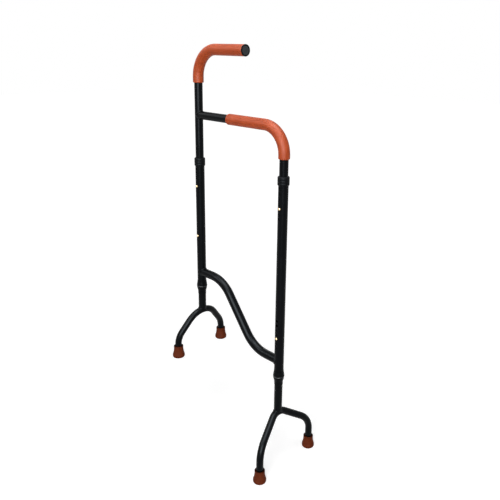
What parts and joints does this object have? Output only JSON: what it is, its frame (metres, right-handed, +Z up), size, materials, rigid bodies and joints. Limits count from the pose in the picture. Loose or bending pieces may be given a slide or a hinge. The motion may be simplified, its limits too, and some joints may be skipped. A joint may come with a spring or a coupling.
{
  "type": "stair assist cane",
  "caption": "Walking cane for stairs: two telescoping black uprights on forked feet, one a step higher, joined by an S brace, with two orange foam grips.",
  "frame": {"origin": "midway between the uprights, level with the soles of the lower feet", "axes": "+X from the upright on the upper step to the one on the lower step, +Z up the uprights"},
  "size_m": [0.3936, 0.231, 1.1015],
  "materials": {
    "black_paint": "gloss",
    "black_plastic": "satin",
    "orange_foam": "matte",
    "brown_rubber": "matte",
    "bright_steel": "brushed"
  },
  "bodies": {
    "lower_frame": {"far_outer_tube": "black_paint", "near_outer_tube": "black_paint", "s_brace": "black_paint", "far_upper_collar": "black_plastic", "near_upper_collar": "black_plastic", "far_lower_collar": "black_plastic", "near_lower_collar": "black_plastic"},
    "handle_frame": {"far_handle_tube": "black_paint", "front_handle_tube": "black_paint", "upper_grip": "orange_foam", "lower_grip": "orange_foam", "handle_end_cap": "black_plastic", "far_handle_clip": "bright_steel", "near_handle_clip": "bright_steel"},
    "far_leg": {"far_leg_tube": "black_paint", "far_fork": "black_paint", "far_left_ferrule": "brown_rubber", "far_right_ferrule": "brown_rubber", "far_left_washer": "bright_steel", "far_right_washer": "bright_steel", "far_leg_clip": "bright_steel"},
    "near_leg": {"near_leg_tube": "black_paint", "near_fork": "black_paint", "near_left_ferrule": "brown_rubber", "near_right_ferrule": "brown_rubber", "near_left_washer": "bright_steel", "near_right_washer": "bright_steel", "near_leg_clip": "bright_steel"},
    "far_handle_button": {"far_handle_button": "bright_steel"},
    "near_handle_button": {"near_handle_button": "bright_steel"},
    "far_leg_button": {"far_leg_button": "bright_steel"},
    "near_leg_button": {"near_leg_button": "bright_steel"}
  },
  "joints": [
    {"name": "handle_height", "type": "slide", "parent": "lower_frame", "child": "handle_frame", "axis": [0, 0, 1], "range_m": [-0.0254, 0.0508]},
    {"name": "far_leg_height", "type": "slide", "parent": "lower_frame", "child": "far_leg", "axis": [0, 0, -1], "range_m": [-0.0254, 0.0508]},
    {"name": "near_leg_height", "type": "slide", "parent": "lower_frame", "child": "near_leg", "axis": [0, 0, -1], "range_m": [-0.0508, 0.0254]},
    {"name": "far_handle_button_press", "type": "slide", "parent": "handle_frame", "child": "far_handle_button", "axis": [0, 1, 0], "range_m": [0, 0.0042], "stiffness_N_per_m": 1500, "deforming": ["far_handle_clip"]},
    {"name": "near_handle_button_press", "type": "slide", "parent": "handle_frame", "child": "near_handle_button", "axis": [0, 1, 0], "range_m": [0, 0.0042], "stiffness_N_per_m": 1500, "deforming": ["near_handle_clip"]},
    {"name": "far_leg_button_press", "type": "slide", "parent": "far_leg", "child": "far_leg_button", "axis": [0, 1, 0], "range_m": [0, 0.0042], "stiffness_N_per_m": 1500, "deforming": ["far_leg_clip"]},
    {"name": "near_leg_button_press", "type": "slide", "parent": "near_leg", "child": "near_leg_button", "axis": [0, 1, 0], "range_m": [0, 0.0042], "stiffness_N_per_m": 1500, "deforming": ["near_leg_clip"]}
  ]
}
